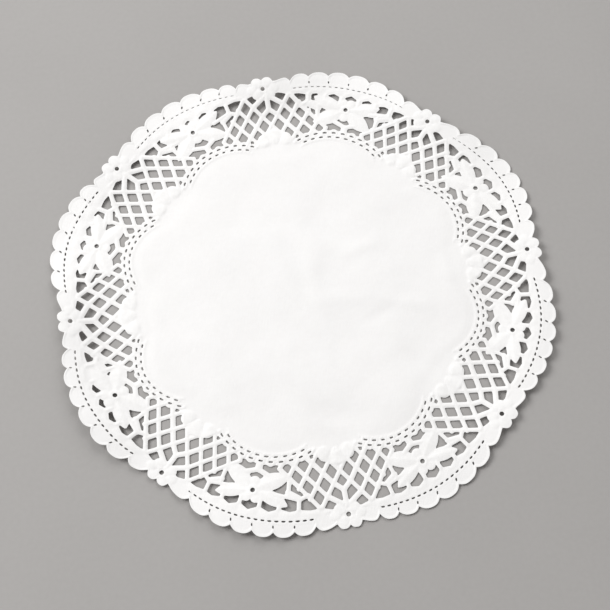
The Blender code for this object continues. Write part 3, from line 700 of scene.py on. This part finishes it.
def cutSheet(places, inSlit, triangles):
    # corners near the edge of the paper move onto it, and triangles that cross it are cut there
    field = lace(places)[0]
    edges = np.sort(np.concatenate((triangles[:, :2], triangles[:, 1:], triangles[:, ::2])), axis=1)
    edges = np.unique(edges, axis=0)
    a, b = edges[field[edges[:, 0]] * field[edges[:, 1]] < 0].T
    share = field[a] / (field[a] - field[b])
    ends = np.concatenate((a, b))
    others = np.concatenate((b, a))
    shares = np.concatenate((share, 1 - share))
    least = np.full(len(places), 1.0)
    np.minimum.at(least, ends, shares)
    close = (shares <= least[ends]) & (shares < np.where(inSlit[ends], doily["slitSnap"], doily["snap"]))
    step = (places[others[close]] - places[ends[close]]) * shares[close, None]
    places[ends[close]] += step
    field[ends[close]] = 0

    sign = np.sign(field[triangles]).astype(int)
    has = sign.max(axis=1) > 0
    whole = triangles[has & (sign.min(axis=1) >= 0)]
    mixed = has & (sign.min(axis=1) < 0)
    corners = triangles[mixed]
    sign = sign[mixed]
    total = sign.sum(axis=1)
    zero = (sign == 0).any(axis=1)
    # the corner that stands alone comes first
    alone = np.where(total < 0, np.argmax(sign, axis=1), np.argmin(sign, axis=1))
    alone = np.where(zero, np.argmax(sign == 0, axis=1), alone)
    turns = (alone[:, None] + np.arange(3)) % 3
    corners = np.take_along_axis(corners, turns, axis=1)
    sign = np.take_along_axis(sign, turns, axis=1)
    keys = []
    count = len(places)

    def cutBetween(p, q):
        # the number of the new corner on an edge, by its two ends
        keys.append(np.minimum(p, q) * count + np.maximum(p, q))
        return keys[-1]

    p, q, r = corners.T
    single = ~zero & (total < 0)
    double = ~zero & (total > 0)
    forward = zero & (sign[:, 1] > 0)
    backward = zero & (sign[:, 1] < 0)
    pieces = [
        (p[single], cutBetween(p[single], q[single]), cutBetween(p[single], r[single]), (0, 1, 1)),
        (cutBetween(p[double], q[double]), q[double], r[double], (1, 0, 0)),
        (cutBetween(p[double], q[double]), r[double], cutBetween(p[double], r[double]), (1, 0, 1)),
        (p[forward], q[forward], cutBetween(q[forward], r[forward]), (0, 0, 1)),
        (p[backward], cutBetween(q[backward], r[backward]), r[backward], (0, 1, 0)),
    ]
    cuts = np.unique(np.concatenate(keys))
    low = cuts // count
    high = cuts % count
    share = (field[low] / (field[low] - field[high]))[:, None]
    fresh = places[low] + (places[high] - places[low]) * share
    made = [whole]
    for piece in pieces:
        columns = [
            count + np.searchsorted(cuts, column) if isCut else column
            for column, isCut in zip(piece[:3], piece[3])
        ]
        made.append(np.column_stack(columns))
    triangles = np.concatenate(made)
    places = np.concatenate((places, fresh))
    used, flat = np.unique(triangles, return_inverse=True)
    return places[used], flat.reshape(-1, 3)


def ontoSlits(disc):
    # corners within half a step of the middle line of a row of slits move onto it, so
    # that the slits are cut evenly, and are marked
    x, y, rim = patternPlace(disc)
    radius, turn = polar(x, y)
    axis = (np.floor(turn / (2 * halfRepeat)) + 0.5) * 2 * halfRepeat
    cutRadius, cutTurn = cutPlace(radius, turn)
    awayX = cutRadius * np.sin(cutTurn) - doily["archCentre"] * np.sin(axis)
    awayY = cutRadius * np.cos(cutTurn) - doily["archCentre"] * np.cos(axis)
    away = np.hypot(awayX, awayY)
    archDegrees = np.degrees(np.arccos(np.clip((awayX * np.sin(axis) + awayY * np.cos(axis)) / away, -1, 1)))
    reach = doily["finePitch"] * doily["slitReach"]
    inSlit = np.zeros(len(disc), dtype=bool)
    for row in doily["archSlits"]:
        off = away - row[0]
        close = (np.abs(off) < reach) & (archDegrees < row[4] + doily["slitMargin"]) & (radius < 96)
        disc[close] -= (np.column_stack((awayX, awayY)) * (off / np.maximum(away, 1))[:, None])[close]
        inSlit |= close
    degrees = np.degrees(np.abs(turn - axis))
    off = radius - slitLine(turn, degrees)[0]
    stretch = rim["stretch"]
    close = np.abs(off) < doily["rimSlitReach"] * reach * stretch
    close &= degrees < doily["rimSlits"][-1] + doily["slitMargin"]
    discRadius = np.hypot(disc[:, 0], disc[:, 1])
    disc[close] *= (1 - off / stretch / np.maximum(discRadius, 1))[close, None]
    return disc, inSlit | close


def joinedAlong(triangles, marked):
    # where two marked corners face each other over an edge of two others, the edge is
    # turned to join them
    count = len(marked)
    starts = triangles.ravel()
    ends = np.roll(triangles, -1, axis=1).ravel()
    facing = np.roll(triangles, -2, axis=1).ravel()
    forward = starts * count + ends
    backward = ends * count + starts
    order = np.argsort(forward)
    twin = order[np.clip(np.searchsorted(forward[order], backward), 0, len(order) - 1)]
    turned = (forward[twin] == backward) & (starts < ends) & marked[facing] & marked[facing[twin]]
    turned = np.flatnonzero(turned & ~marked[starts] & ~marked[ends])
    opposite = twin[turned]
    triangles[turned // 3] = np.column_stack((starts[turned], facing[opposite], facing[turned]))
    triangles[opposite // 3] = np.column_stack((facing[opposite], ends[turned], facing[turned]))
    return triangles


def creased(x, y):
    # height of a row of soft creases: h exp(-(d / w)^2) about a line from a to b that bows
    # by k (1 - (2t - 1)^2), fading towards both ends
    rise = np.zeros(len(x))
    for startX, startY, endX, endY, height, width, bow in doily["creases"]:
        dx = endX - startX
        dy = endY - startY
        length = math.hypot(dx, dy)
        t = ((x - startX) * dx + (y - startY) * dy) / length**2
        across = ((x - startX) * dy - (y - startY) * dx) / length
        across = across - bow * (1 - (2 * t - 1) ** 2)
        rise += height * bell(across, width) * soft(t / 0.45) * soft((1 - t) / 0.45)
    return rise


def settled(at, x, y):
    # the plain middle stands a little over the lace round it: h soft(d / 6) inside the
    # rows of slits, with slow waves h sin(2 pi (x cos a + y sin a) / length + b) and creases
    inner = np.maximum(doily["middleArch"] - at["arch"], doily["middleRadius"] - at["radius"])
    height = np.array(doily["middleRise"])[:, None]
    rise = repeated(height, at["turn"] / (2 * halfRepeat) - 0.5)[:, 0] * soft(inner / doily["middleEdge"])
    # near the centre all of them come to one height
    rise = rise + (height.mean() - rise) * soft(1 - at["radius"] / doily["evenRadius"])
    waves = np.zeros(len(x))
    for height, length, degrees, start in doily["waves"]:
        angle = math.radians(degrees)
        waves += height * np.sin(2 * math.pi * (x * math.sin(angle) + y * math.cos(angle)) / length + start)
    return rise + (waves + creased(x, y)) * soft((doily["waveRadius"] - at["radius"]) / doily["waveFade"])


def laid(x, y):
    # the flat doily as it lies: lift times soft((r - 97) / 27), and drawn across and
    # outward by (r / 117)^3, all blended from station to station
    radius, turn = polar(x, y)
    stations = np.array(doily["lay"]).reshape(-1, 3)
    lift, across, outward = repeated(stations, turn / halfRepeat).T
    rise = soft((radius - doily["flatRadius"]) / (doily["fullRadius"] - doily["flatRadius"]))
    draw = np.minimum(radius / doily["rimFlowerRadius"], 1) ** doily["drawPower"]
    turn = turn + across * draw / np.maximum(radius, 1)
    radius = radius + outward * draw
    return radius * np.sin(turn), radius * np.cos(turn), lift * rise


def gridRings():
    # radius and count of corners of each ring, from the rim inward
    fine = doily["finePitch"]
    radii = list(np.arange(doily["discRadius"], doily["fineRadius"], -fine))
    counts = []
    for radius in radii:
        columns = next(count for least, count in doily["columns"] if radius > least)
        counts.append(columns * doily["repeats"])
    radius = radii[-1]
    pitch = fine
    while True:
        pitch = min(pitch * doily["pitchGrowth"], doily["middlePitch"])
        radius -= pitch
        if radius < pitch:
            break
        radii.append(radius)
        counts.append(max(int(round(2 * math.pi * radius / pitch)), 6))
    return radii, counts


def doilySheet():
    places, triangles = ringGrid(*gridRings())
    places, inSlit = ontoSlits(places)
    places, triangles = cutSheet(places, inSlit, joinedAlong(triangles, inSlit))
    relief = lace(places)[1]
    flatX, flatY = patternPlace(places)[:2]
    x, y, lift = laid(flatX, flatY)
    z = doily["height"] + relief + lift + settled(lacePlaces(places), x, y)
    z = np.maximum(z, doily["leastHeight"])
    mesh = bpy.data.meshes.new("doilyPaper")
    mesh.from_pydata([], [], [])
    corners = np.column_stack((x, y, z)) * mm
    mesh.vertices.add(len(corners))
    mesh.vertices.foreach_set("co", corners.ravel())
    mesh.loops.add(triangles.size)
    mesh.loops.foreach_set("vertex_index", triangles.ravel())
    mesh.polygons.add(len(triangles))
    mesh.polygons.foreach_set("loop_start", np.arange(0, triangles.size, 3))
    mesh.polygons.foreach_set("use_smooth", np.ones(len(triangles), dtype=bool))
    mesh.update(calc_edges=True)
    mesh.validate()
    flat = mesh.uv_layers.new(name="flat")
    across = np.column_stack((flatX, flatY)) / doily["flatSpan"] + 0.5
    flat.data.foreach_set("uv", across[triangles.ravel()].ravel())
    emboss = mesh.attributes.new("emboss", "FLOAT", "POINT")
    emboss.data.foreach_set("value", relief)
    sheet = bpy.data.objects.new("doilyPaper", mesh)
    bpy.context.scene.collection.objects.link(sheet)
    print("doily sheet:", len(corners), "corners,", len(triangles), "triangles")
    return sheet


def put(tree, kind, values, **settings):
    # a node with its settings, and with numbers or links on its named sockets
    node = tree.nodes.new(kind)
    for name, value in settings.items():
        setattr(node, name, value)
    for name, value in values.items():
        if isinstance(value, bpy.types.NodeSocket):
            tree.links.new(value, node.inputs[name])
        else:
            node.inputs[name].default_value = value
    return node


def groupTree(name, inputs, outputs):
    # an empty node group with float, vector or colour sockets
    tree = bpy.data.node_groups.new(name, "ShaderNodeTree")
    for label, kind, value in inputs:
        socket = tree.interface.new_socket(label, in_out="INPUT", socket_type="NodeSocket" + kind)
        if value is not None:
            socket.default_value = value
    for label, kind in outputs:
        tree.interface.new_socket(label, in_out="OUTPUT", socket_type="NodeSocket" + kind)
    start = tree.nodes.new("NodeGroupInput").outputs
    end = tree.nodes.new("NodeGroupOutput")
    return tree, start, end.inputs


def mottleGroup():
    # soft clouds of two colours, with a second finer layer over them
    inputs = (
        ("Vector", "Vector", None),
        ("Scale", "Float", 40.0),
        ("Fineness", "Float", 4.0),
        ("Low", "Color", (0.8, 0.8, 0.8, 1)),
        ("High", "Color", (0.9, 0.9, 0.9, 1)),
    )
    tree, start, end = groupTree("softMottle", inputs, (("Color", "Color"), ("Mask", "Float")))
    cloudy = {"Vector": start["Vector"], "Scale": start["Scale"], "Detail": 3.0, "Roughness": 0.55}
    clouds = put(tree, "ShaderNodeTexNoise", cloudy)
    finer = put(tree, "ShaderNodeMath", {0: start["Scale"], 1: start["Fineness"]}, operation="MULTIPLY")
    grainy = {"Vector": start["Vector"], "Scale": finer.outputs[0], "Detail": 2.0}
    grains = put(tree, "ShaderNodeTexNoise", grainy)
    both = put(tree, "ShaderNodeMath", {0: clouds.outputs["Fac"], 1: grains.outputs["Fac"]}, operation="ADD")
    mask = put(tree, "ShaderNodeMapRange", {"Value": both.outputs[0], "From Min": 0.72, "From Max": 1.28})
    blend = {"Factor": mask.outputs[0], "A": start["Low"], "B": start["High"]}
    colour = put(tree, "ShaderNodeMix", blend, data_type="RGBA")
    tree.links.new(colour.outputs[2], end["Color"])
    tree.links.new(mask.outputs[0], end["Mask"])
    return tree


def fibreGroup():
    # short fibres lying both ways: noise drawn out along the sheet and across it
    inputs = (("Vector", "Vector", None), ("Scale", "Float", 300.0), ("Stretch", "Float", 6.0))
    tree, start, end = groupTree("paperFibre", inputs, (("Height", "Float"),))
    heights = []
    for turn in (0.35, 1.95):
        turning = {"Vector": start["Vector"], "Angle": turn}
        turned = put(tree, "ShaderNodeVectorRotate", turning, rotation_type="Z_AXIS")
        apart = put(tree, "ShaderNodeSeparateXYZ", {"Vector": turned.outputs[0]})
        longer = put(tree, "ShaderNodeMath", {0: apart.outputs["X"], 1: start["Stretch"]}, operation="DIVIDE")
        drawn = put(tree, "ShaderNodeCombineXYZ", {"X": longer.outputs[0], "Y": apart.outputs["Y"]})
        strand = {"Vector": drawn.outputs[0], "Scale": start["Scale"], "Detail": 2.0, "Distortion": 0.6}
        fibre = put(tree, "ShaderNodeTexNoise", strand)
        heights.append(fibre.outputs["Fac"])
    height = put(tree, "ShaderNodeMath", {0: heights[0], 1: heights[1]}, operation="ADD")
    tree.links.new(height.outputs[0], end["Height"])
    return tree


mottle = mottleGroup()
fibre = fibreGroup()

paper = {
    "colourLow": (0.900, 0.893, 0.885, 1),
    "colourHigh": (0.955, 0.950, 0.944, 1),
    "hollowShadeColour": (0.905, 0.897, 0.892, 1),  # painted shade: greyer in the hollows of the embossing
    "cloudScale": 26.0,  # clouds about 10 mm across, as the flat sheet is 260 mm
    "fibreScale": 330.0,
    "roughnessPlain": 0.62,
    "roughnessRaised": 0.48,  # where the die rubbed it
    "fibreBump": 0.05,
    "cockleScale": 9.0,
    "cockleBump": 0.35,
}


def paperMaterial():
    material = bpy.data.materials.new("whitePaper")
    material.use_nodes = True
    tree = material.node_tree
    shader = tree.nodes["Principled BSDF"]
    flat = put(tree, "ShaderNodeUVMap", {}, uv_map="flat").outputs["UV"]
    pressed = {"attribute_name": "emboss", "attribute_type": "GEOMETRY"}
    emboss = put(tree, "ShaderNodeAttribute", {}, **pressed).outputs["Fac"]
    clouds = put(tree, "ShaderNodeGroup", {}, node_tree=mottle)
    tree.links.new(flat, clouds.inputs["Vector"])
    clouds.inputs["Scale"].default_value = paper["cloudScale"]
    clouds.inputs["Low"].default_value = paper["colourLow"]
    clouds.inputs["High"].default_value = paper["colourHigh"]
    # painted shade: the paper colour goes greyer where the embossing is low
    raised = put(tree, "ShaderNodeMapRange", {"Value": emboss, "From Min": -0.12, "From Max": 0.3}).outputs[0]
    colour = put(
        tree,
        "ShaderNodeMix",
        {"Factor": raised, "A": paper["hollowShadeColour"], "B": clouds.outputs["Color"]},
        data_type="RGBA",
    )
    tree.links.new(colour.outputs[2], shader.inputs["Base Color"])
    heights = {"Value": emboss, "From Min": 0.0, "From Max": 0.45}
    shades = {"To Min": paper["roughnessPlain"], "To Max": paper["roughnessRaised"]}
    rough = put(tree, "ShaderNodeMapRange", {**heights, **shades}).outputs[0]
    tree.links.new(rough, shader.inputs["Roughness"])
    fibres = put(tree, "ShaderNodeGroup", {}, node_tree=fibre)
    tree.links.new(flat, fibres.inputs["Vector"])
    fibres.inputs["Scale"].default_value = paper["fibreScale"]
    cockled = {"Vector": flat, "Scale": paper["cockleScale"], "Detail": 2.0}
    cockle = put(tree, "ShaderNodeTexNoise", cockled).outputs["Fac"]
    coarse = {"Height": cockle, "Strength": paper["cockleBump"], "Distance": 0.002}
    waves = put(tree, "ShaderNodeBump", coarse)
    fine = {"Height": fibres.outputs["Height"], "Normal": waves.outputs["Normal"]}
    fine.update({"Strength": 1.0, "Distance": paper["fibreBump"] * mm})
    grain = put(tree, "ShaderNodeBump", fine)
    tree.links.new(grain.outputs["Normal"], shader.inputs["Normal"])
    shader.inputs["Specular IOR Level"].default_value = 0.35
    return material


sheet = doilySheet()
sheet.data.materials.append(paperMaterial())
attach(sheet, "root")
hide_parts("doily")
print("doily done")


table = {
    "size": 16.0,
    "colourLow": (0.386, 0.374, 0.364, 1),
    "colourHigh": (0.402, 0.390, 0.380, 1),
    "roughness": 0.75,
}


def tableMaterial():
    material = bpy.data.materials.new("tableTop")
    material.use_nodes = True
    tree = material.node_tree
    shader = tree.nodes["Principled BSDF"]
    place = put(tree, "ShaderNodeTexCoord", {}).outputs["Object"]
    clouds = put(tree, "ShaderNodeGroup", {}, node_tree=mottle)
    tree.links.new(place, clouds.inputs["Vector"])
    clouds.inputs["Scale"].default_value = 14.0
    clouds.inputs["Fineness"].default_value = 30.0
    clouds.inputs["Low"].default_value = table["colourLow"]
    clouds.inputs["High"].default_value = table["colourHigh"]
    tree.links.new(clouds.outputs["Color"], shader.inputs["Base Color"])
    shader.inputs["Roughness"].default_value = table["roughness"]
    return material


def tableTop():
    half = table["size"] / 2
    mesh = bpy.data.meshes.new("tableTop")
    corners = [(-half, -half, 0), (half, -half, 0), (half, half, 0), (-half, half, 0)]
    mesh.from_pydata(corners, [], [(0, 1, 2, 3)])
    mesh.materials.append(tableMaterial())
    top = bpy.data.objects.new("tableTop", mesh)
    bpy.context.scene.collection.objects.link(top)


view = {
    "elevation": 66.61,
    "roll": 2.03,
    "spin": 12.14,  # of the doily's first rim flower from straight away from the camera
    "target": (1.80, -8.99, 0.0),
    "distance": 643.9,
    "focalPixels": 1285.4,
    "imagePixels": 610,
    "sensor": 36.0,
}


def fromCameraSide():
    return Matrix.Rotation(-math.radians(view["spin"]), 4, "Z")


def placeCamera():
    elevation = math.radians(view["elevation"])
    roll = math.radians(view["roll"])
    forward = Vector((0, math.cos(elevation), -math.sin(elevation)))
    right = Vector((1, 0, 0))
    up = Vector((0, math.sin(elevation), math.cos(elevation)))
    rolledRight = right * math.cos(roll) + up * math.sin(roll)
    rolledUp = up * math.cos(roll) - right * math.sin(roll)
    place = Vector(view["target"]) - forward * view["distance"]
    axes = Matrix((rolledRight, rolledUp, -forward)).transposed().to_4x4()
    camera = bpy.data.cameras.new("camera")
    camera.sensor_width = view["sensor"]
    camera.sensor_fit = "HORIZONTAL"
    camera.lens = view["focalPixels"] / view["imagePixels"] * view["sensor"]
    camera.clip_start = 0.01
    camera.clip_end = 20
    viewer = bpy.data.objects.new("camera", camera)
    bpy.context.scene.collection.objects.link(viewer)
    viewer.matrix_world = fromCameraSide() @ Matrix.Translation(place * mm) @ axes
    bpy.context.scene.camera = viewer


lights = {
    # place in metres as seen from the camera's side, size, watts
    "key": ((-1.55, 0.35, 1.45), 1.2, 32.0),
    "fill": ((0.35, 1.90, 1.60), 2.2, 26.0),
    "worldColour": (1.0, 0.985, 0.975, 1),
    "worldStrength": 0.37,
}


def placeLight(name):
    place, size, power = lights[name]
    lamp = bpy.data.lights.new(name, "AREA")
    lamp.shape = "DISK"
    lamp.size = size
    lamp.energy = power
    holder = bpy.data.objects.new(name, lamp)
    bpy.context.scene.collection.objects.link(holder)
    where = fromCameraSide() @ Vector(place)
    holder.location = where
    holder.rotation_euler = (-where).to_track_quat("-Z", "Y").to_euler()


def placeWorld():
    world = bpy.data.worlds.new("studio")
    world.use_nodes = True
    background = world.node_tree.nodes["Background"]
    background.inputs["Color"].default_value = lights["worldColour"]
    background.inputs["Strength"].default_value = lights["worldStrength"]
    bpy.context.scene.world = world
    bpy.context.scene.view_settings.view_transform = "Standard"


tableTop()
placeCamera()
placeLight("key")
placeLight("fill")
placeWorld()
print("stage done")
